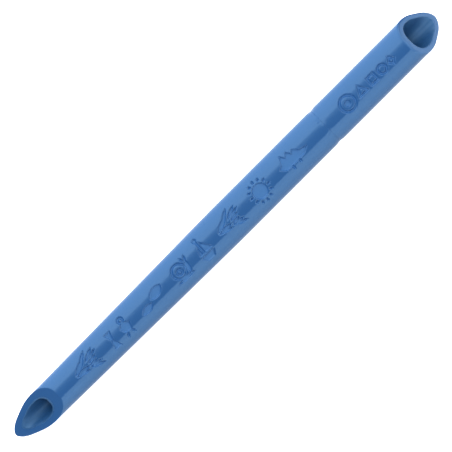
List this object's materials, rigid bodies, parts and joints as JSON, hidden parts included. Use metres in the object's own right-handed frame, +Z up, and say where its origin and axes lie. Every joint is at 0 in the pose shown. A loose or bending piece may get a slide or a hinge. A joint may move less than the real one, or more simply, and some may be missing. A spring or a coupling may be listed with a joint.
{
  "type": "crayon",
  "caption": "Hollow three-sided plastic crayon with slant-cut open ends and engraved pictures: a tapered barrel and a pull-off rear sleeve.",
  "frame": {"origin": "on the floor, under the middle of the crayon's length, with the crayon lying on one of its three sides", "axes": "+X along the crayon from its narrow slant-cut point to its wide rear point, +Z up, and the side with the pictures faces -Y and 30 degrees above level"},
  "size_m": [0.12, 0.0088, 0.0086],
  "materials": {
    "crayon_plastic": "glossy moulded blue plastic, with satin floors in the engraved pictures"
  },
  "bodies": {
    "barrel": {"barrel": "crayon_plastic"},
    "sleeve": {"rear_sleeve": "crayon_plastic"}
  },
  "joints": [
    {"name": "sleeve_pull", "type": "slide", "parent": "barrel", "child": "sleeve", "axis": [1, 0, 0], "range_m": [0, 0.014]}
  ]
}
